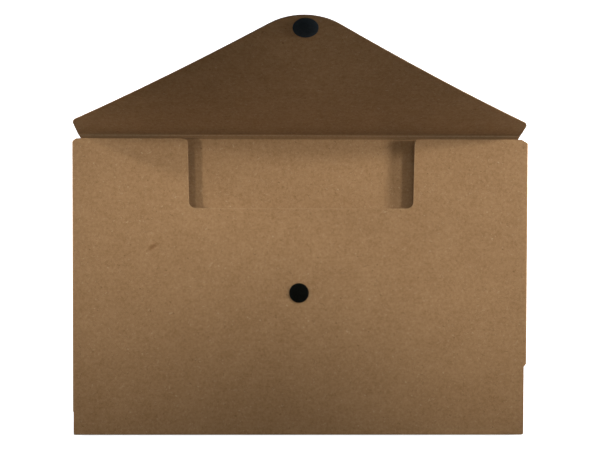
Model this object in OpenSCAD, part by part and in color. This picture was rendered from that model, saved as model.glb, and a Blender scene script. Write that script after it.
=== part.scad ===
// Document folder of kraft card, lying open on its back.
// A flat pocket is folded and glued from one die-cut card. A narrow top spine and a
// pointed closing flap carry on from its back panel, and two touch-fastening dots shut it.
// Origin: middle of the back panel's outer face. +Y runs to the flap, +Z to the front panel.

/* [Card] */
// Thickness of the card
card_t = 0.7; // [0.5:0.05:1]
// Outside radius of the pocket's folds
fold_r = 1.2; // [1.1:0.1:2]

/* [Pocket] */
// Width of the pocket, over its side folds
pocket_w = 349.6; // [300:0.5:400]
// Height of the front panel, from the bottom fold to the mouth
pocket_h = 228; // [200:1:300]
// Depth of the pocket, over both panels
pocket_d = 6; // [5:0.1:20]
// Width of the bevel at the top corners
corner_w = 5.3; // [2:0.1:10]
// Height of the bevel at the top corners
corner_h = 3; // [2:0.1:10]
// Width of the smaller bevel at the front panel's top left corner
corner_left_w = 3.4; // [2:0.1:10]
// Height of the smaller bevel at the front panel's top left corner
corner_left_h = 2.6; // [2:0.1:10]
// Radius of the bottom left corner
corner_left_r = 1.2; // [0.5:0.1:4]
// Radius of the bottom right corner
corner_right_r = 2.2; // [0.5:0.1:4]

/* [Thumb cut in the front panel] */
// Width of the cut at the mouth
cut_w = 173.8; // [100:0.1:240]
// Width of the cut at its foot
cut_foot_w = 171.9; // [100:0.1:240]
// Height of the cut
cut_h = 53.1; // [30:0.1:80]
// Distance of the cut to the right of the middle
cut_x = 0.5; // [-5:0.1:5]
// Radius of the corners at its foot
cut_foot_r = 5; // [1:0.5:15]
// Radius of the corners at the mouth
cut_lip_r = 4; // [1:0.5:10]

/* [Side walls and glue tabs] */
// Height of the left wall's foot above the bottom fold
left_foot = 18; // [10:1:80]
// Height of the right wall's foot above the bottom fold
right_foot = 53.3; // [10:0.1:80]
// Distance of the front panel's left edge inside the fold, below the wall
left_inset = 0.8; // [0.1:0.1:3]
// Distance of the front panel's right edge inside the fold, below the wall
right_inset = 2.3; // [0.1:0.1:3]
// Distance of the back panel's side edges inside the folds
back_inset = 0.4; // [0.1:0.1:2]
// Width of the glue tabs
tab_w = 15; // [8:1:30]
// Bevel at the ends of the glue tabs
tab_bevel = 6; // [2:0.5:7]

/* [Top spine] */
// Distance of the spine's left end inside the pocket's left fold
spine_left = 5.1; // [3:0.1:15]
// Distance of the spine's right end inside the pocket's right fold
spine_right = 6.3; // [3:0.1:15]
// Room between the front panel's top edge and the upright spine
mouth_gap = 0.3; // [0.2:0.05:1]
// Height of the closed flap's crease above the front panel
flap_lift = 1.3; // [1:0.1:3]
// Slope of the spine as the folder lies open
spine_slope = 66; // [20:1:85]

/* [Flap] */
// Length of the flap, from its crease to the tip
flap_l = 127.8; // [90:0.1:160]
// Width of the flap between its two side corners
flap_w = 334.2; // [280:0.1:390]
// Length of the straight sides next to the crease
flap_side = 18.9; // [5:0.1:40]
// Radius of the tip
flap_tip_r = 35; // [10:1:60]
// Radius of the corners where the sides turn to the tip
flap_corner_r = 9.5; // [0.5:0.5:12]
// Radius of the flap's backward bow
flap_bow_r = 800; // [500:1:3000]
// Slope of the flap at its crease as the folder lies open
flap_slope = 71.7; // [20:0.1:88]
// Turn of the flap's outline against its crease, as cut and folded a little askew
flap_skew = 0.5; // [0:0.1:2]

/* [Creases] */
// Running clearance round the rounded edge in each crease
crease_gap = 0.1; // [0.05:0.01:0.2]
// Bevel angle of the card's inner edges at a crease
crease_bevel = 49; // [45:1:60]

/* [Fastening dots] */
// Diameter of the dots
dot_d = 15; // [10:0.5:25]
// Thickness of the hooked dot on the flap
hook_t = 1.2; // [0.8:0.1:2]
// Thickness of the looped dot on the front panel
loop_t = 1.2; // [0.8:0.1:2]
// Card left between the hooked dot's rim and the flap's tip
hook_margin = 1.6; // [1:0.1:40]
// Distance of the hooked dot to the right of the flap's middle
hook_x = 1.6; // [-10:0.1:10]
// Distance of the looped dot to the right of the pocket's middle
loop_x = -1.1; // [-10:0.1:10]

/* [Hidden] */

card_colour = "#9b7852";
card_inside_colour = "#8f6e4b";
dot_colour = "#15161a";

// Smallest angle between neighbouring points of a rounded corner, in degrees
arc_step = 6;
// Faces of the small round parts and of the wide bow
round_fn = 64;
bow_fn = 1440;
// Overshoot of every cutting solid
past = 1;

y_foot = -pocket_h / 2;
y_mouth = pocket_h / 2;
side_x = pocket_w / 2;
spine_start = spine_left - side_x;
spine_end = side_x - spine_right;
inner_fold_r = fold_r - card_t;

// The first crease joins the back panel to the spine, the second the spine to the flap
crease_r = card_t / 2;
crease_y = y_mouth + mouth_gap + crease_r;
crease_z = card_t / 2;
spine_w = pocket_d + flap_lift;
flap_crease_y = crease_y + spine_w * cos(spine_slope);
flap_crease_z = crease_z + spine_w * sin(spine_slope);

// The flap's straight edges leave its corners at this angle and touch the tip's circle
flap_reach = [flap_w / 2, flap_l - flap_tip_r - flap_side];
flap_edge_angle = atan2(flap_reach.y, flap_reach.x) + asin(flap_tip_r / norm(flap_reach));
flap_apex = flap_side + flap_w / 2 * tan(flap_edge_angle);
hook_y = flap_l - hook_margin - dot_d / 2;
hook_turn = asin(hook_y / flap_bow_r);

// The looped dot lies where the hooked one lands when the spine stands upright
loop_y = crease_y - hook_y;

// Points of one rounded corner b between its neighbours a and c
function unit(v) = v / norm(v);
function shortest(turn) = turn > 180 ? turn - 360 : turn < -180 ? turn + 360 : turn;
function corner(a, b, c, r) =
    let (
        u = unit(a - b),
        v = unit(c - b),
        half = acos(u * v) / 2,
        m = b + unit(u + v) * r / sin(half),
        p = b + u * r / tan(half) - m,
        q = b + v * r / tan(half) - m,
        start = atan2(p.y, p.x),
        turn = shortest(atan2(q.y, q.x) - start),
        n = max(2, ceil(abs(turn) / arc_step))
    )
    r == 0 ? [b] : [for (i = [0:n]) m + r * [cos(start + turn * i / n), sin(start + turn * i / n)]];

// Outline through the given points, with a radius at each of them
function rounded(points, radii) =
    let (n = len(points))
    [for (i = [0:n - 1]) each corner(points[(i + n - 1) % n], points[i], points[(i + 1) % n], radii[i])];

// A point of the flap's outline, turned by the skew about the middle of the crease
function askew(p) =
    let (c = cos(flap_skew), s = sin(flap_skew))
    [p.x * c + p.y * s, p.y * c - p.x * s];

// Extrudes an outline drawn in Y and Z along X, centred on the middle
module along_x(length) {
    rotate([90, 0, 90])
        translate([0, 0, -length / 2])
            linear_extrude(length)
                children();
}

// Cuts the rounded seat and the inner bevel of a crease into card that runs along +Y
module crease_cut(length) {
    bevel_run = (crease_r + past) * tan(crease_bevel);
    rotate([0, 90, 0])
        cylinder(h = length, r = crease_r + crease_gap, center = true, $fn = round_fn);
    along_x(length)
        polygon([
            [-past, 0],
            [crease_gap, 0],
            [crease_gap + bevel_run, crease_r + past],
            [-past, crease_r + past]
        ]);
}

// Plan of the pocket's front and sides, with its bevels and the steps below the side walls
module pocket_plan() {
    points = [
        [side_x - right_inset, y_foot],
        [side_x - right_inset, y_foot + right_foot],
        [side_x, y_foot + right_foot + right_inset],
        [side_x, y_mouth - corner_h],
        [side_x - corner_w, y_mouth],
        [corner_left_w - side_x, y_mouth],
        [-side_x, y_mouth - corner_left_h],
        [-side_x, y_foot + left_foot + left_inset],
        [left_inset - side_x, y_foot + left_foot],
        [left_inset - side_x, y_foot]
    ];
    polygon(rounded(points, [corner_right_r, 0, 0, 0, 0.5, 2, 2, 0, 0, corner_left_r]));
}

// Wide thumb cut, open at the mouth, with rounded corners at its lips and foot
module thumb_cut() {
    lip = cut_lip_r + past;
    points = [
        [cut_x - cut_w / 2 - lip, y_mouth + past],
        [cut_x - cut_w / 2 - lip, y_mouth],
        [cut_x - cut_w / 2, y_mouth],
        [cut_x - cut_foot_w / 2, y_mouth - cut_h],
        [cut_x + cut_foot_w / 2, y_mouth - cut_h],
        [cut_x + cut_w / 2, y_mouth],
        [cut_x + cut_w / 2 + lip, y_mouth],
        [cut_x + cut_w / 2 + lip, y_mouth + past]
    ];
    polygon(rounded(points, [0, 0, cut_lip_r, cut_foot_r, cut_foot_r, cut_lip_r, 0, 0]));
}

// Section of the bottom fold, from the front panel round to the back panel
module bottom_section() {
    reach = y_foot + 2 * fold_r;
    points = [
        [reach, 0],
        [reach, card_t],
        [y_foot + card_t, card_t],
        [y_foot + card_t, pocket_d - card_t],
        [reach, pocket_d - card_t],
        [reach, pocket_d],
        [y_foot, pocket_d],
        [y_foot, 0]
    ];
    polygon(rounded(points, [0, 0, inner_fold_r, inner_fold_r, 0, 0, fold_r, fold_r]));
}

// Section of one side, from the front panel down its wall to the glue tab's inner edge
module side_section() {
    reach = side_x - 2 * fold_r;
    tab_x = side_x - tab_w;
    points = [
        [tab_x, card_t],
        [side_x, card_t],
        [side_x, pocket_d],
        [reach, pocket_d],
        [reach, pocket_d - card_t],
        [side_x - card_t, pocket_d - card_t],
        [side_x - card_t, 2 * card_t],
        [tab_x, 2 * card_t]
    ];
    polygon(rounded(points, [0, fold_r, fold_r, 0, 0, inner_fold_r, inner_fold_r, 0]));
}

// One side wall with its glue tab, whose ends are bevelled; side is 1 on the right, -1 on the left
module side_wall(side, foot) {
    low = y_foot + foot;
    high = y_mouth;
    tab_edge = side_x - tab_w;
    bevel_edge = side_x - fold_r;
    scale_x = side > 0 ? 0 : 1;
    mirror([scale_x, 0, 0])
        intersection() {
            translate([0, high, 0])
                rotate([90, 0, 0])
                    linear_extrude(high - low)
                        side_section();
            union() {
                linear_extrude(pocket_d + past)
                    polygon([
                        [tab_edge - past, low + tab_bevel],
                        [tab_edge, low + tab_bevel],
                        [bevel_edge, low],
                        [side_x + past, low],
                        [side_x + past, high],
                        [bevel_edge, high - corner_h],
                        [tab_edge, high - corner_h - tab_bevel],
                        [tab_edge - past, high - corner_h - tab_bevel]
                    ]);
                translate([side_x - 3 * fold_r, low, pocket_d - card_t - past])
                    cube([4 * fold_r, high - low, card_t + 2 * past]);
            }
        }
}

module front_panel() {
    translate([0, 0, pocket_d - card_t])
        linear_extrude(card_t)
            polygon([
                [fold_r - side_x, y_foot + fold_r],
                [side_x - fold_r, y_foot + fold_r],
                [side_x - fold_r, y_mouth],
                [fold_r - side_x, y_mouth]
            ]);
    translate([-side_x, y_foot + fold_r, pocket_d - card_t])
        cube([2 * fold_r, left_foot - fold_r, card_t]);
}

module back_panel() {
    edge_x = side_x - back_inset;
    linear_extrude(card_t)
        polygon([
            [-edge_x, y_foot + fold_r],
            [edge_x, y_foot + fold_r],
            [edge_x, y_mouth - corner_h],
            [spine_end, y_mouth],
            [spine_end, crease_y],
            [spine_start, crease_y],
            [spine_start, y_mouth],
            [-edge_x, y_mouth - corner_h]
        ]);
}

// Pocket, folded and glued from one card
module pocket() {
    color(card_colour)
        difference() {
            union() {
                back_panel();
                intersection() {
                    union() {
                        front_panel();
                        side_wall(1, right_foot);
                        side_wall(-1, left_foot);
                        along_x(pocket_w)
                            bottom_section();
                    }
                    linear_extrude(pocket_d + past)
                        pocket_plan();
                }
            }
            translate([0, 0, pocket_d - card_t - past])
                linear_extrude(card_t + 2 * past)
                    thumb_cut();
            translate([0, crease_y, crease_z])
                mirror([0, 1, 0])
                    crease_cut(pocket_w);
        }
}

// Narrow spine with a rounded edge in each crease
module top_spine() {
    bevel_run = crease_gap + crease_r * tan(crease_bevel);
    length = spine_end - spine_start;
    color(card_inside_colour)
        translate([(spine_start + spine_end) / 2, crease_y, crease_z])
            rotate([spine_slope, 0, 0])
                union() {
                    for (y = [0, spine_w])
                        translate([0, y, 0])
                            rotate([0, 90, 0])
                                cylinder(h = length, r = crease_r, center = true, $fn = round_fn);
                    along_x(length)
                        polygon([
                            [0, -crease_r],
                            [spine_w, -crease_r],
                            [spine_w, 0],
                            [spine_w - bevel_run, crease_r],
                            [bevel_run, crease_r],
                            [0, 0]
                        ]);
                }
}

// Puts what is drawn on the flat flap in its place on the open folder
module on_flap() {
    translate([0, flap_crease_y, flap_crease_z])
        rotate([flap_slope, 0, 0])
            children();
}

// Bowed face of the flap, on the given side of the middle of the card
module bow_cylinder(offset_r) {
    translate([0, 0, -flap_bow_r])
        rotate([0, 90, 0])
            cylinder(h = pocket_w, r = flap_bow_r + offset_r, center = true, $fn = bow_fn);
}

// Closing flap: straight sides, sloping edges and a round tip, bowed away from the pocket
module flap() {
    bow_drop = flap_bow_r * (1 - cos(asin(flap_l / flap_bow_r)));
    points = [
        [spine_start, 0],
        [spine_end, 0],
        askew([flap_w / 2, flap_side]),
        askew([0, flap_apex]),
        askew([-flap_w / 2, flap_side])
    ];
    color(card_inside_colour)
        on_flap()
            difference() {
                intersection() {
                    translate([0, 0, -bow_drop - 2 * card_t])
                        linear_extrude(bow_drop + 4 * card_t)
                            polygon(rounded(points, [0, 0, flap_corner_r, flap_tip_r, flap_corner_r]));
                    bow_cylinder(card_t / 2);
                }
                bow_cylinder(-card_t / 2);
                crease_cut(pocket_w);
            }
}

// Hooked dot inside the flap's tip, square to the bowed face there
module hook_dot() {
    color(dot_colour)
        on_flap()
            translate([hook_x, 0, -flap_bow_r])
                rotate([-hook_turn, 0, 0])
                    translate([0, 0, flap_bow_r + card_t / 2])
                        cylinder(h = hook_t, d = dot_d, $fn = round_fn);
}

// Looped dot on the front panel
module loop_dot() {
    color(dot_colour)
        translate([loop_x, loop_y, pocket_d])
            cylinder(h = loop_t, d = dot_d, $fn = round_fn);
}

pocket();
top_spine();
flap();
hook_dot();
loop_dot();
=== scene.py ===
# Looks of the kraft card folder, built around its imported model.
import math
import random

import bpy
from mathutils import Matrix, Vector


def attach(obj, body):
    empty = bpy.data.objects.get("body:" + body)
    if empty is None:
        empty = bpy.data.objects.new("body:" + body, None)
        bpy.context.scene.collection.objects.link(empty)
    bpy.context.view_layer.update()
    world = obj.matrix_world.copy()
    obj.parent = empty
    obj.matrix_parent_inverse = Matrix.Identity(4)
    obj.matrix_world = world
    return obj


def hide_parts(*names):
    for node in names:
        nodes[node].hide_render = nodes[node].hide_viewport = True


MM = 0.001

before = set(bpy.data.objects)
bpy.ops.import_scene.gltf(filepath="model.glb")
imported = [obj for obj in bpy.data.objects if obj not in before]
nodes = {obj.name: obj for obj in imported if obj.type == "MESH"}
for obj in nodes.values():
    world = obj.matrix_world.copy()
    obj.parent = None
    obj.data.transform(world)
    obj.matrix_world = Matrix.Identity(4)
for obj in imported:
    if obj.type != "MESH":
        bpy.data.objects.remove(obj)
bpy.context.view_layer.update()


# Camera

IMAGE_W = 600                    # width of the photograph, in pixels
SENSOR_MM = 36.0
FOCAL_PX = 585.58                # focal length in pixels
CAMERA_AT_MM = (-4.03, 54.45, 454.91)
CAMERA_TILT = (-0.01415, -0.00793, 0.00256)   # about X, Y and Z, from straight down


def add_camera():
    data = bpy.data.cameras.new("camera")
    data.sensor_fit = "HORIZONTAL"
    data.sensor_width = SENSOR_MM
    data.lens = FOCAL_PX * SENSOR_MM / IMAGE_W
    data.clip_start = 0.01
    data.clip_end = 20.0
    camera = bpy.data.objects.new("camera", data)
    bpy.context.scene.collection.objects.link(camera)
    tilt_x, tilt_y, tilt_z = CAMERA_TILT
    turn = Matrix.Rotation(tilt_z, 4, "Z") @ Matrix.Rotation(tilt_y, 4, "Y") @ Matrix.Rotation(tilt_x, 4, "X")
    camera.matrix_world = Matrix.Translation(Vector(CAMERA_AT_MM) * MM) @ turn
    bpy.context.scene.camera = camera


# Materials

class Graph:
    """Short ways to add shader nodes. `mm` is the place on the object at rest, in millimetres."""

    def __init__(self, name):
        self.mat = bpy.data.materials.new(name)
        self.mat.use_nodes = True
        self.tree = self.mat.node_tree
        self.shader = self.tree.nodes["Principled BSDF"]
        coords = self.add("ShaderNodeTexCoord")
        self.normal = coords.outputs["Normal"]
        scaled = self.add("ShaderNodeVectorMath", operation="SCALE")
        self.tree.links.new(coords.outputs["Object"], scaled.inputs[0])
        scaled.inputs["Scale"].default_value = 1 / MM
        self.mm = scaled.outputs[0]
        self.x, self.y, self.z = self.parts(self.mm)
        _, self.normal_y, self.normal_z = self.parts(self.normal)

    def add(self, kind, **settings):
        node = self.tree.nodes.new(kind)
        for key, value in settings.items():
            setattr(node, key, value)
        return node

    def feed(self, socket, source):
        if isinstance(source, bpy.types.NodeSocket):
            self.tree.links.new(source, socket)
        else:
            socket.default_value = source

    def parts(self, vector):
        split = self.add("ShaderNodeSeparateXYZ")
        self.feed(split.inputs[0], vector)
        return split.outputs

    def math(self, operation, first, second=0.0, third=None):
        node = self.add("ShaderNodeMath", operation=operation)
        self.feed(node.inputs[0], first)
        self.feed(node.inputs[1], second)
        if third is not None:
            self.feed(node.inputs[2], third)
        return node.outputs[0]

    def times(self, *factors):
        product = factors[0]
        for factor in factors[1:]:
            product = self.math("MULTIPLY", product, factor)
        return product

    def largest(self, *values):
        best = values[0]
        for value in values[1:]:
            best = self.math("MAXIMUM", best, value)
        return best

    def soft_step(self, value, start, end):
        """0 before start and 1 after end, or the other way round where end is the lower."""
        node = self.add("ShaderNodeMapRange", interpolation_type="SMOOTHSTEP")
        self.feed(node.inputs["Value"], value)
        node.inputs["From Min"].default_value = min(start, end)
        node.inputs["From Max"].default_value = max(start, end)
        node.inputs["To Min"].default_value = 0.0 if start < end else 1.0
        node.inputs["To Max"].default_value = 1.0 if start < end else 0.0
        return node.outputs[0]

    def placed(self, turn=(0, 0, 0), scale=(1, 1, 1), shift=(0, 0, 0)):
        """The place in millimetres, less `shift`, turned in degrees and scaled."""
        moved = self.add("ShaderNodeVectorMath", operation="SUBTRACT")
        self.feed(moved.inputs[0], self.mm)
        moved.inputs[1].default_value = shift
        turned = self.add("ShaderNodeMapping")
        self.feed(turned.inputs["Vector"], moved.outputs[0])
        turned.inputs["Rotation"].default_value = [math.radians(angle) for angle in turn]
        stretched = self.add("ShaderNodeVectorMath", operation="MULTIPLY")
        self.feed(stretched.inputs[0], turned.outputs[0])
        stretched.inputs[1].default_value = scale
        return stretched.outputs[0]

    def noise(self, size, detail=1.0, roughness=0.5, at=None, warp=0.0):
        """Noise from 0 to 1, with spots about `size` millimetres across."""
        node = self.add("ShaderNodeTexNoise")
        self.feed(node.inputs["Vector"], at or self.mm)
        node.inputs["Scale"].default_value = 1 / size
        node.inputs["Detail"].default_value = detail
        node.inputs["Roughness"].default_value = roughness
        node.inputs["Distortion"].default_value = warp
        return node.outputs[0]

    def uneven(self, amount, *noise, **more):
        """Noise about 0, from -amount / 2 to amount / 2."""
        centred = self.math("SUBTRACT", self.noise(*noise, **more), 0.5)
        return self.times(centred, amount)

    def total(self, *values):
        result = values[0]
        for value in values[1:]:
            result = self.math("ADD", result, value)
        return result

    def hairs(self, size, width, share, turn, shift, stretch=2.0):
        """1 along short thin curved hairs and 0 between them."""
        at = self.placed(turn=(0, 0, turn), scale=(1 / stretch, 1, 1), shift=shift)
        ridge = self.math("ABSOLUTE", self.math("SUBTRACT", self.noise(size, 1.0, at=at, warp=0.4), 0.5))
        line = self.soft_step(ridge, width, 0.0)
        gap_at = self.placed(shift=[value + 7.0 for value in shift])
        present = self.soft_step(self.noise(0.8 * size, 0.0, at=gap_at), 1 - share, 1 - share + 0.05)
        return self.times(line, present)

    def flecks(self, spacing, size, shift, stretch=1.8):
        """1 in small scattered specks of different sizes, 0 elsewhere."""
        at = self.placed(turn=(0, 0, 35), scale=(1 / stretch, 1, 1), shift=shift)
        cells = self.add("ShaderNodeTexVoronoi")
        self.feed(cells.inputs["Vector"], at)
        cells.inputs["Scale"].default_value = 1 / spacing
        chance = self.parts(cells.outputs["Color"])[0]
        reach = self.times(self.soft_step(chance, 0.35, 1.0), size / spacing)
        near = self.math("SUBTRACT", reach, cells.outputs["Distance"])
        return self.soft_step(near, 0.0, 0.3 * size / spacing)

    def mix(self, factor, first, second):
        node = self.add("ShaderNodeMix", data_type="RGBA")
        self.feed(node.inputs["Factor"], factor)
        for socket, colour in ((node.inputs[6], first), (node.inputs[7], second)):
            self.feed(socket, colour if isinstance(colour, bpy.types.NodeSocket) else (*colour, 1.0))
        return node.outputs[2]

    def bump(self, height, depth_mm, strength):
        node = self.add("ShaderNodeBump")
        node.inputs["Strength"].default_value = strength
        node.inputs["Distance"].default_value = depth_mm * MM
        self.feed(node.inputs["Height"], height)
        self.feed(self.shader.inputs["Normal"], node.outputs["Normal"])


CARD_DARK = (0.262, 0.144, 0.062)
CARD_PALE = (0.398, 0.238, 0.116)
# dark fibres and flecks; also the colour of the painted shade along the creases
CARD_FIBRE_DARK_AND_SHADE = (0.150, 0.078, 0.032)
CARD_FIBRE_PALE = (0.520, 0.370, 0.220)
CARD_WEAR_AND_HIGHLIGHT = (0.500, 0.340, 0.190)         # pale lines: partly wear, partly painted highlight
CARD_CUT = (0.380, 0.240, 0.126)          # the paler heart of the card, on its cut edges
FLAP_CUT = (0.150, 0.105, 0.070)          # the flap's rim, handled and greyer
CARD_SPECULAR = 0.1
CARD_BUMP_MM = 0.09
CARD_BUMP_STRENGTH = 0.55

STAIN = (0.195, 0.093, 0.034)
STAIN_AT_MM = (-113.1, 31.2, 6.0)
STAIN_SIZE_MM = (11.0, 3.2)
STAIN_TURN = 34                            # degrees up from +X
STAIN_FADE = (1.35, 0.2)                   # from nothing to full, in half sizes from its middle
STAIN_STRENGTH = 0.72


def none(g):
    return 0.0


def kraft_card(name, cut_edges, wear_and_highlight=none, dark_lines_and_painted_shade=none, painted_light=0.0, stained=False, cut_colour=CARD_CUT):
    """Matte brown card. The masks are made from the graph: `cut_edges` of the card's cut edges, the next one of
    pale lines that are partly wear and partly painted highlight, and the one after of dark lines and bands that
    are partly pressed creases and partly painted shade. The last number paints the whole card paler: painted
    light."""
    g = Graph(name)
    mottle = g.noise(2.2, 3.0, 0.62)
    grain = g.noise(0.42, 2.0, 0.6)
    tone = g.total(
        g.uneven(0.40, 34.0, 2.0),
        g.uneven(0.45, 8.0, 2.0),
        g.uneven(0.30, 3.0, 2.0, at=g.placed(scale=(0.12, 1, 1), shift=(40, 0, 0))),
        g.times(g.math("SUBTRACT", mottle, 0.5), 1.35),
        g.times(g.math("SUBTRACT", grain, 0.5), 1.1),
        0.5)
    # An added lightness paints the whole card paler: painted light where it is used.
    colour = g.mix(g.math("ADD", tone, painted_light), CARD_DARK, CARD_PALE)
    dark_hairs = g.largest(
        g.hairs(3.6, 0.011, 0.42, 20, (0, 0, 0)),
        g.hairs(2.6, 0.012, 0.40, 110, (31, 17, 5)))
    pale_hairs = g.largest(
        g.hairs(3.0, 0.014, 0.45, -35, (12, 71, 9)),
        g.hairs(2.3, 0.014, 0.42, 65, (54, 23, 3)))
    colour = g.mix(g.times(dark_hairs, 0.50), colour, CARD_FIBRE_DARK_AND_SHADE)
    colour = g.mix(g.times(pale_hairs, 0.42), colour, CARD_FIBRE_PALE)
    dark_flecks = g.flecks(4.5, 0.55, (3, 8, 1))
    pale_flecks = g.flecks(5.5, 0.6, (27, 4, 6))
    colour = g.mix(g.times(dark_flecks, 0.55), colour, CARD_FIBRE_DARK_AND_SHADE)
    colour = g.mix(g.times(pale_flecks, 0.45), colour, CARD_FIBRE_PALE)
    if stained:
        across = g.placed(turn=(0, 0, -STAIN_TURN), shift=STAIN_AT_MM,
                          scale=(2 / STAIN_SIZE_MM[0], 2 / STAIN_SIZE_MM[1], 0.5))
        distance = g.add("ShaderNodeVectorMath", operation="LENGTH")
        g.feed(distance.inputs[0], across)
        ragged = g.total(distance.outputs["Value"], g.uneven(1.0, 2.6, 2.0))
        colour = g.mix(g.times(g.soft_step(ragged, *STAIN_FADE), STAIN_STRENGTH), colour, STAIN)
    # Pale lines, partly wear and partly painted highlight, broken into patches.
    pale_patches = g.noise(1.8, 2.0, at=g.placed(shift=(9, 3, 2)))
    colour = g.mix(g.times(wear_and_highlight(g), g.soft_step(pale_patches, 0.25, 0.6)), colour, CARD_WEAR_AND_HIGHLIGHT)
    # Dark lines and bands, partly pressed creases and partly painted shade.
    colour = g.mix(dark_lines_and_painted_shade(g), colour, CARD_FIBRE_DARK_AND_SHADE)
    edges = cut_edges(g)
    layers = g.noise(1.0, 3.0, 0.7, at=g.placed(scale=(0.9, 0.9, 7.0)))
    cut = g.mix(g.soft_step(layers, 0.3, 0.75), CARD_FIBRE_DARK_AND_SHADE, cut_colour)
    colour = g.mix(g.times(edges, 0.75), colour, cut)
    g.feed(g.shader.inputs["Base Color"], colour)
    g.feed(g.shader.inputs["Roughness"], g.total(0.86, g.uneven(0.16, 1.2, 2.0), g.times(edges, 0.06)))
    g.shader.inputs["Specular IOR Level"].default_value = CARD_SPECULAR
    height = g.total(
        g.times(mottle, 0.55), g.times(grain, 0.45), g.times(pale_hairs, 0.35), g.times(dark_hairs, 0.2),
        g.times(edges, layers, 0.8))
    g.bump(height, CARD_BUMP_MM, CARD_BUMP_STRENGTH)
    return g.mat


NYLON_SPECULAR = 0.05
NYLON_BUMP_MM = 0.05
NYLON_BUMP_STRENGTH = 0.5


def nylon(name, dark, pale):
    """Black touch tape: fine nylon threads, a little uneven."""
    g = Graph(name)
    threads = g.noise(0.16, 2.0, 0.6)
    patches = g.noise(1.6, 2.0)
    tone = g.total(g.times(threads, 0.6), g.times(patches, 0.5), -0.05)
    g.feed(g.shader.inputs["Base Color"], g.mix(tone, dark, pale))
    g.feed(g.shader.inputs["Roughness"], g.total(0.66, g.times(threads, 0.3)))
    g.shader.inputs["Specular IOR Level"].default_value = NYLON_SPECULAR
    g.bump(threads, NYLON_BUMP_MM, NYLON_BUMP_STRENGTH)
    return g.mat


def dress(obj, mat):
    obj.data.materials.clear()
    obj.data.materials.append(mat)


NEAR_CUT_X_MM = (95.0, 94.0)               # the mask fades in between the two
NEAR_CUT_Y_MM = (55.0, 56.0)
ABOVE_BOTTOM_Y_MM = (-109.0, -108.5)


def pocket_edges(g):
    """The thumb cut's cut edge, the top edges of the panels and the low ends of the side walls."""
    upright = g.soft_step(g.math("ABSOLUTE", g.normal_z), 0.6, 0.4)
    near_cut = g.times(g.soft_step(g.math("ABSOLUTE", g.x), *NEAR_CUT_X_MM), g.soft_step(g.y, *NEAR_CUT_Y_MM))
    top = g.soft_step(g.normal_y, 0.7, 0.8)
    low_ends = g.times(g.soft_step(g.normal_y, -0.7, -0.8), g.soft_step(g.y, *ABOVE_BOTTOM_Y_MM))
    return g.largest(g.times(upright, near_cut), top, low_ends)


# The thumb cut, as the CAD model has it, in millimetres
CUT_MIDDLE_MM = 0.5
CUT_FOOT_HALF_MM = 85.95
CUT_LEAN = 0.95 / 53.1                     # how far each side leans outwards on its way up
CUT_FOOT_Y_MM = 60.9
CUT_CORNER_MM = 5.0
FRONT_Z_MM = 5.3                           # inner face of the front panel
CUT_RIM_MM = 0.9
# strength of the pale line along the thumb cut: partly wear, partly painted highlight
CUT_RIM_WEAR_AND_HIGHLIGHT = 0.2


def cut_rim_wear_and_highlight(g):
    """A narrow pale line on the front panel along the thumb cut: partly wear, partly a painted highlight on the
    cut's edge.
    """
    half = g.math("MULTIPLY_ADD", g.math("SUBTRACT", g.y, CUT_FOOT_Y_MM), CUT_LEAN, CUT_FOOT_HALF_MM)
    beside = g.math("SUBTRACT", g.math("ABSOLUTE", g.math("SUBTRACT", g.x, CUT_MIDDLE_MM)), half)
    below = g.math("SUBTRACT", CUT_FOOT_Y_MM, g.y)
    wide, high = (g.largest(g.math("ADD", gap, CUT_CORNER_MM), 0.0) for gap in (beside, below))
    away = g.math("SUBTRACT", g.math("SQRT", g.total(g.times(wide, wide), g.times(high, high))), CUT_CORNER_MM)
    on_front = g.soft_step(g.z, FRONT_Z_MM - 0.3, FRONT_Z_MM)
    return g.times(g.soft_step(away, CUT_RIM_MM, 0.4 * CUT_RIM_MM), on_front, CUT_RIM_WEAR_AND_HIGHLIGHT)


# Where the two creases run at rest, in millimetres, and how the card leaves them, in degrees
POCKET_CREASE_MM = (114.65, 0.35)
FLAP_CREASE_MM = (117.619, 7.019)
SPINE_SLOPE = 66
FLAP_SLOPE = 71.7
SPINE_W_MM = 7.3


def up_from(g, crease, slope):
    """How far a point lies from a crease, up the slope of the card."""
    along_y = g.times(g.math("SUBTRACT", g.y, crease[0]), math.cos(math.radians(slope)))
    along_z = g.times(g.math("SUBTRACT", g.z, crease[1]), math.sin(math.radians(slope)))
    return g.math("ADD", along_y, along_z)


# Masks along the creases: how far up the spine or the flap each fades in or out, in millimetres, and its strength.
# They follow the photograph's brightness, which doesn't tell wear from shade.
# The pale line under the spine's upper crease: partly wear, partly painted highlight.
PALE_LINE_IN_MM = (SPINE_W_MM - 2.9, SPINE_W_MM - 2.2)
PALE_LINE_OUT_MM = (SPINE_W_MM - 1.2, SPINE_W_MM - 1.6)
SPINE_WEAR_AND_HIGHLIGHT = 0.8
# The dark line along that crease: partly a pressed line, partly painted shade.
SPINE_PRESSED_AND_SHADE_MM = (SPINE_W_MM - 1.4, SPINE_W_MM - 0.9)
SPINE_PRESSED_AND_SHADE = 0.5
# The dark line at the flap's foot: partly a pressed line, partly painted shade.
FLAP_PRESSED_AND_SHADE_MM = (2.4, 0.6)
FLAP_PRESSED_AND_SHADE = 0.45
# The wider darker band above the flap's foot: painted shade.
FLAP_PAINTED_SHADE_MM = (16.0, 1.0)
FLAP_PAINTED_SHADE = 0.25


def spine_wear_and_highlight(g):
    """The pale line just under the crease where the spine turns into the flap: partly wear, partly painted
    highlight.
    """
    up = up_from(g, POCKET_CREASE_MM, SPINE_SLOPE)
    return g.times(g.soft_step(up, *PALE_LINE_IN_MM), g.soft_step(up, *PALE_LINE_OUT_MM), SPINE_WEAR_AND_HIGHLIGHT)


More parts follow.
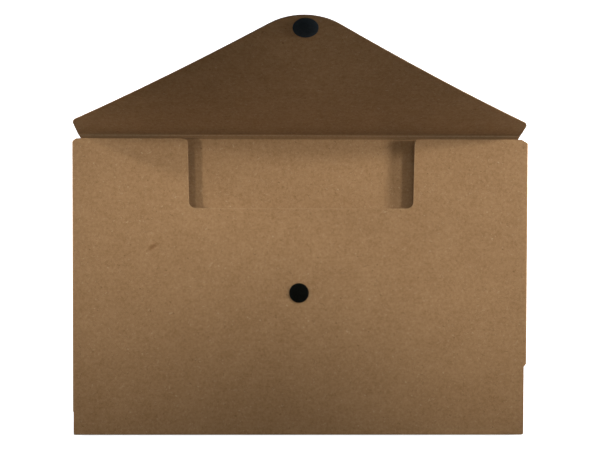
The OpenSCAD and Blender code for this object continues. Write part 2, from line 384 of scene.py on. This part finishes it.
def spine_pressed_and_shade(g):
    """The dark line along that crease, on the spine's side: partly a pressed line, partly painted shade."""
    return g.times(g.soft_step(up_from(g, POCKET_CREASE_MM, SPINE_SLOPE), *SPINE_PRESSED_AND_SHADE_MM), SPINE_PRESSED_AND_SHADE)


def flap_pressed_and_shade(g):
    """The same dark line at the flap's foot, partly pressed and partly painted shade, and a darker band above it,
    which is painted shade.
    """
    up = up_from(g, FLAP_CREASE_MM, FLAP_SLOPE)
    return g.largest(
        g.times(g.soft_step(up, *FLAP_PRESSED_AND_SHADE_MM), FLAP_PRESSED_AND_SHADE),
        g.times(g.soft_step(up, *FLAP_PAINTED_SHADE_MM), FLAP_PAINTED_SHADE))


SIDE_FOLD_MM = 174.8
BOTTOM_FOLD_MM = -114.0
# strength of the pale lines along the side and bottom folds: partly wear, partly painted highlight
FOLD_WEAR_AND_HIGHLIGHT = 0.5


def pocket_wear_and_highlight(g):
    """The pale lines along the thumb cut, the two side folds and the bottom fold: partly wear, partly painted
    highlights.
    """
    sides = g.soft_step(g.math("ABSOLUTE", g.x), SIDE_FOLD_MM - 1.7, SIDE_FOLD_MM - 0.5)
    bottom = g.soft_step(g.y, BOTTOM_FOLD_MM + 1.2, BOTTOM_FOLD_MM + 0.3)
    return g.largest(cut_rim_wear_and_highlight(g), g.times(g.largest(sides, bottom), FOLD_WEAR_AND_HIGHLIGHT))


def edges_off(face):
    """A mask of the faces that stand square to a flat piece's own face."""
    def mask(g):
        turned = g.add("ShaderNodeVectorMath", operation="DOT_PRODUCT")
        g.feed(turned.inputs[0], g.normal)
        turned.inputs[1].default_value = face
        return g.soft_step(g.math("ABSOLUTE", turned.outputs["Value"]), 0.75, 0.6)
    return mask


def face_of(name, towards):
    """The average outward direction of a CAD node's faces that look roughly `towards`."""
    total = Vector()
    for face in nodes[name].data.polygons:
        if face.normal.dot(Vector(towards)) > 0.5:
            total += face.normal * face.area
    return total.normalized()


SPINE_PAINTED_LIGHT = 0.35                         # painted light: the narrow spine is painted paler than the flap
INSIDE = (0, -0.8, 0.6)                    # roughly where the standing flap's inner face looks

spine_ends = edges_off(face_of("top_spine", INSIDE))
flap_rim = edges_off(face_of("flap", INSIDE))
dress(nodes["pocket"], kraft_card("kraft_pocket", pocket_edges, wear_and_highlight=pocket_wear_and_highlight, stained=True))
dress(nodes["top_spine"], kraft_card("kraft_spine", spine_ends, wear_and_highlight=spine_wear_and_highlight, dark_lines_and_painted_shade=spine_pressed_and_shade,
                                      painted_light=SPINE_PAINTED_LIGHT))
dress(nodes["flap"], kraft_card("kraft_flap", flap_rim, dark_lines_and_painted_shade=flap_pressed_and_shade, cut_colour=FLAP_CUT))


# The two dots

def lathe(profile, segments):
    """A turned closed shape: profile points are (radius, height), from axis to axis."""
    verts = [(0, 0, profile[0][1])]
    ring = [(math.cos(2 * math.pi * k / segments), math.sin(2 * math.pi * k / segments)) for k in range(segments)]
    for radius, height in profile[1:-1]:
        verts += [(radius * c, radius * s, height) for c, s in ring]
    verts.append((0, 0, profile[-1][1]))
    faces = []
    last = len(verts) - 1
    rings = len(profile) - 2
    for k in range(segments):
        after = (k + 1) % segments
        faces.append((0, 1 + after, 1 + k))
        for row in range(rings - 1):
            low, high = 1 + row * segments, 1 + (row + 1) * segments
            faces.append((low + k, low + after, high + after, high + k))
        high = 1 + (rings - 1) * segments
        faces.append((high + k, high + after, last))
    return verts, faces


def thread(points, side, radius, sides):
    """A closed thin tube along `points`, which lie in one plane square to `side`."""
    side = Vector(side).normalized()
    points = [Vector(point) for point in points]
    verts, faces = [], []
    for k, point in enumerate(points):
        along = (points[min(k + 1, len(points) - 1)] - points[max(k - 1, 0)]).normalized()
        out = side.cross(along)
        for j in range(sides):
            angle = 2 * math.pi * j / sides
            verts.append(point + radius * (math.cos(angle) * side + math.sin(angle) * out))
    for k in range(len(points) - 1):
        for j in range(sides):
            after = (j + 1) % sides
            faces.append((k * sides + j, k * sides + after, (k + 1) * sides + after, (k + 1) * sides + j))
    faces.append(tuple(range(sides - 1, -1, -1)))
    faces.append(tuple(range(len(verts) - sides, len(verts))))
    return verts, faces


def piece(name, shapes, seat):
    """One mesh object of several closed shapes, carried from a dot's own frame to the object's."""
    verts, faces = [], []
    for shape_verts, shape_faces in shapes:
        start = len(verts)
        verts += [seat @ (Vector(vert) * MM) for vert in shape_verts]
        faces += [[start + index for index in face] for face in shape_faces]
    mesh = bpy.data.meshes.new(name)
    mesh.from_pydata(verts, [], faces)
    mesh.polygons.foreach_set("use_smooth", [True] * len(faces))
    mesh.update()
    obj = bpy.data.objects.new(name, mesh)
    bpy.context.scene.collection.objects.link(obj)
    return obj


def dot_seat(name, towards):
    """A CAD dot's own frame (foot in the middle, +Z outwards), its radius and its height in millimetres."""
    mesh = nodes[name].data
    out = max((face for face in mesh.polygons if face.normal.dot(Vector(towards)) > 0.5),
              key=lambda face: face.area).normal.normalized()
    across = Vector((1, 0, 0))
    across = (across - across.dot(out) * out).normalized()
    up = out.cross(across)
    spans = [[vert.co.dot(axis) for vert in mesh.vertices] for axis in (across, up, out)]
    low, high = [min(span) for span in spans], [max(span) for span in spans]
    middle = across * (low[0] + high[0]) / 2 + up * (low[1] + high[1]) / 2 + out * low[2]
    seat = Matrix((across, up, out)).transposed().to_4x4()
    seat.translation = middle
    return seat, (high[0] - low[0]) / 2 / MM, (high[2] - low[2]) / MM


TAPE_T = 0.42                              # woven base of both dots, in millimetres
TAPE_EDGE = 0.08
TAPE_SEGMENTS = 72
SUNK = 0.03                                # how deep loops and hooks stand in the base


def tape_disc(radius):
    return lathe([(0, 0), (radius - TAPE_EDGE, 0), (radius, TAPE_EDGE), (radius, TAPE_T - TAPE_EDGE),
                  (radius - TAPE_EDGE, TAPE_T), (0, TAPE_T)], TAPE_SEGMENTS)


LOOP_STEP = 0.37
LOOP_THREAD = 0.045
LOOP_POINTS = 6
LOOP_MARGIN = 0.35                         # bare rim of the dot


def loop_pile(radius, height, rng):
    """Small soft loops that lean every way."""
    shapes = []
    room = radius - LOOP_MARGIN
    count = int(room / LOOP_STEP)
    for i in range(-count, count + 1):
        for j in range(-count, count + 1):
            x = (i + rng.uniform(-0.45, 0.45)) * LOOP_STEP
            y = (j + rng.uniform(-0.45, 0.45)) * LOOP_STEP
            turn, lean = rng.uniform(0, 2 * math.pi), rng.uniform(-0.5, 0.5)
            rise = (height - TAPE_T) * rng.uniform(0.62, 0.95) - LOOP_THREAD
            wide = rng.uniform(0.16, 0.28)
            if math.hypot(x, y) > room:
                continue
            flat = Vector((math.cos(turn), math.sin(turn), 0))
            side = Vector((-math.sin(turn), math.cos(turn), 0))
            up = Vector((0, 0, 1)) * math.cos(lean) + side * math.sin(lean)
            foot = Vector((x, y, TAPE_T - SUNK))
            points = []
            for k in range(LOOP_POINTS):
                angle = math.pi * k / (LOOP_POINTS - 1)
                points.append(foot - flat * wide * math.cos(angle) + up * rise * math.sin(angle))
            shapes.append(thread(points, flat.cross(up), LOOP_THREAD, 3))
    return shapes


HOOK_STEP = (0.82, 1.05)                   # along a row and from row to row
HOOK_THREAD = 0.075
HOOK_CURL = 0.17
HOOK_BEND = 36                             # degrees from point to point along the curl
HOOK_STEPS = 6
HOOK_MARGIN = 0.45
HOOK_HEADROOM = 0.02


def hook_rows(radius, height, rng):
    """Rows of small stiff hooks, each row turned against the next."""
    shapes = []
    room = radius - HOOK_MARGIN
    rows = int(room / HOOK_STEP[1])
    per_row = int(room / HOOK_STEP[0])
    stem = height - TAPE_T - HOOK_CURL - HOOK_THREAD - HOOK_HEADROOM
    for row in range(-rows, rows + 1):
        facing = 1 if row % 2 else -1
        for k in range(-per_row, per_row + 1):
            x = (k + 0.5 * (row % 2)) * HOOK_STEP[0] + rng.uniform(-0.05, 0.05)
            y = row * HOOK_STEP[1] + rng.uniform(-0.05, 0.05)
            turn = rng.uniform(-0.2, 0.2)
            if math.hypot(x, y) > room:
                continue
            flat = Vector((math.sin(turn), facing * math.cos(turn), 0))
            foot = Vector((x, y, TAPE_T - SUNK))
            points = [foot, foot + Vector((0, 0, stem / 2)), foot + Vector((0, 0, stem))]
            middle = foot + Vector((0, 0, stem)) + flat * HOOK_CURL
            for step in range(1, HOOK_STEPS + 1):
                angle = math.pi - math.radians(HOOK_BEND) * step
                curl = flat * HOOK_CURL * math.cos(angle) + Vector((0, 0, 1)) * HOOK_CURL * math.sin(angle)
                points.append(middle + curl)
            shapes.append(thread(points, flat.cross(Vector((0, 0, 1))), HOOK_THREAD, 5))
    return shapes


SEED = 27
LOOPS_DARK, LOOPS_PALE = (0.003, 0.0033, 0.0024), (0.011, 0.0115, 0.0085)
# The hooks are paler and bluer than the loops: partly their own colour, partly painted sheen.
HOOKS_DARK_AND_SHEEN, HOOKS_PALE_AND_SHEEN = (0.010, 0.014, 0.017), (0.030, 0.038, 0.044)

loop_seat, loop_radius, loop_height = dot_seat("loop_dot", (0, 0, 1))
loop_tape = piece("loop_tape", [tape_disc(loop_radius)] + loop_pile(loop_radius, loop_height, random.Random(SEED)),
                  loop_seat)
dress(loop_tape, nylon("black_loops", LOOPS_DARK, LOOPS_PALE))
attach(loop_tape, "pocket")
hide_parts("loop_dot")

hook_seat, hook_radius, hook_height = dot_seat("hook_dot", INSIDE)
hook_tape = piece("hook_tape", [tape_disc(hook_radius)] + hook_rows(hook_radius, hook_height, random.Random(SEED)),
                  hook_seat)
dress(hook_tape, nylon("black_hooks", HOOKS_DARK_AND_SHEEN, HOOKS_PALE_AND_SHEEN))
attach(hook_tape, "flap")
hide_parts("hook_dot")


# Floor and light

def seen_directly(tree):
    """1 for a ray that shows the backdrop itself: from the camera, a reflection or a see-through part."""
    path = tree.nodes.new("ShaderNodeLightPath")
    glossy = tree.nodes.new("ShaderNodeMath")
    glossy.operation = "MAXIMUM"
    both = tree.nodes.new("ShaderNodeMath")
    both.operation = "MAXIMUM"
    tree.links.new(path.outputs["Is Camera Ray"], glossy.inputs[0])
    tree.links.new(path.outputs["Is Glossy Ray"], glossy.inputs[1])
    tree.links.new(glossy.outputs[0], both.inputs[0])
    tree.links.new(path.outputs["Is Transmission Ray"], both.inputs[1])
    return both.outputs[0]


def white_floor():
    bpy.ops.mesh.primitive_plane_add(size=FLOOR_SIZE, location=(0, 0, -FLOOR_DROP))
    floor = bpy.context.object
    floor.name = "floor"
    mat = bpy.data.materials.new("floor_white")
    mat.use_nodes = True
    tree = mat.node_tree
    shader = tree.nodes["Principled BSDF"]
    shader.inputs["Base Color"].default_value = (0.8, 0.8, 0.8, 1)
    shader.inputs["Roughness"].default_value = 0.9
    glow = tree.nodes.new("ShaderNodeEmission")
    glow.inputs["Strength"].default_value = FLOOR_GLOW
    pale = tree.nodes.new("ShaderNodeBsdfDiffuse")
    pale.inputs["Color"].default_value = (FLOOR_SHADE, FLOOR_SHADE, FLOOR_SHADE, 1)
    shown = tree.nodes.new("ShaderNodeAddShader")
    tree.links.new(glow.outputs[0], shown.inputs[0])
    tree.links.new(pale.outputs[0], shown.inputs[1])
    mix = tree.nodes.new("ShaderNodeMixShader")
    tree.links.new(seen_directly(tree), mix.inputs["Fac"])
    tree.links.new(shader.outputs[0], mix.inputs[1])
    tree.links.new(shown.outputs[0], mix.inputs[2])
    tree.links.new(mix.outputs[0], tree.nodes["Material Output"].inputs["Surface"])
    dress(floor, mat)


def area_lamp(name, azimuth, elevation, watts, spread, target_mm):
    """A lamp on its own bearing: azimuth from +X to +Y and elevation, both in degrees, round its target."""
    data = bpy.data.lights.new(name, "AREA")
    data.shape = "RECTANGLE"
    data.size = data.size_y = LAMP_SIZE_MM * MM
    data.energy = watts
    data.spread = math.radians(spread)
    lamp = bpy.data.objects.new(name, data)
    bpy.context.scene.collection.objects.link(lamp)
    turn, rise = math.radians(azimuth), math.radians(elevation)
    away = Vector((math.cos(turn) * math.cos(rise), math.sin(turn) * math.cos(rise), math.sin(rise)))
    target = Vector(target_mm) * MM
    lamp.location = target + away * LAMP_DISTANCE_MM * MM
    lamp.rotation_euler = away.to_track_quat("Z", "Y").to_euler()


def world_light(strength):
    world = bpy.data.worlds.new("world")
    world.use_nodes = True
    tree = world.node_tree
    light = tree.nodes["Background"]
    light.inputs["Color"].default_value = (1, 1, 1, 1)
    light.inputs["Strength"].default_value = strength
    white = tree.nodes.new("ShaderNodeBackground")
    white.inputs["Color"].default_value = (1, 1, 1, 1)
    white.inputs["Strength"].default_value = 1.0
    mix = tree.nodes.new("ShaderNodeMixShader")
    tree.links.new(seen_directly(tree), mix.inputs["Fac"])
    tree.links.new(light.outputs[0], mix.inputs[1])
    tree.links.new(white.outputs[0], mix.inputs[2])
    tree.links.new(mix.outputs[0], tree.nodes["World Output"].inputs["Surface"])
    bpy.context.scene.world = world


FLOOR_SIZE = 6.0                           # metres, as is the drop below the folder
FLOOR_DROP = 0.0003
FLOOR_GLOW = 0.92
FLOOR_SHADE = 1.0
WORLD_STRENGTH = 0.03
LAMP_DISTANCE_MM = 800
LAMP_SIZE_MM = 90

# Narrow lamps, fitted to the photograph's shading. Those from the right and the left are low enough for the thumb
# cut's two shadows, and together they leave the bottom of the panel darker.
# Each is a name, azimuth, elevation, watts, spread in degrees and the place that it points at.
LAMPS = (
    ("right_back", 0, 15, 0.245, 30, (60, 120, 0)),
    ("right_front", 30, 30, 0.170, 36, (130, 20, 0)),
    ("left_middle", 180, 30, 0.0745, 22, (-130, 60, 0)),
    ("left_back", 150, 45, 0.0453, 30, (-60, 120, 0)),
    ("corner_right", 30, 45, 0.0427, 20, (160, -80, 0)),
    ("corner_left", 150, 45, 0.0375, 20, (-160, -80, 0)),
    ("middle", 30, 60, 0.0119, 22, (0, 70, 0)),
    ("left_low", 150, 15, 0.0338, 18, (-60, 60, 0)),
    ("flap_tip", 270, 10, 0.0045, 14, (0, 165, 115)),
    ("leaf_right", 90, 75, 0.0029, 18, (100, 60, 0)),
)

add_camera()
white_floor()
for name, azimuth, elevation, watts, spread, target_mm in LAMPS:
    area_lamp("lamp_" + name, azimuth, elevation, watts, spread, target_mm)
world_light(WORLD_STRENGTH)

scene = bpy.context.scene
scene.view_settings.view_transform = "Standard"
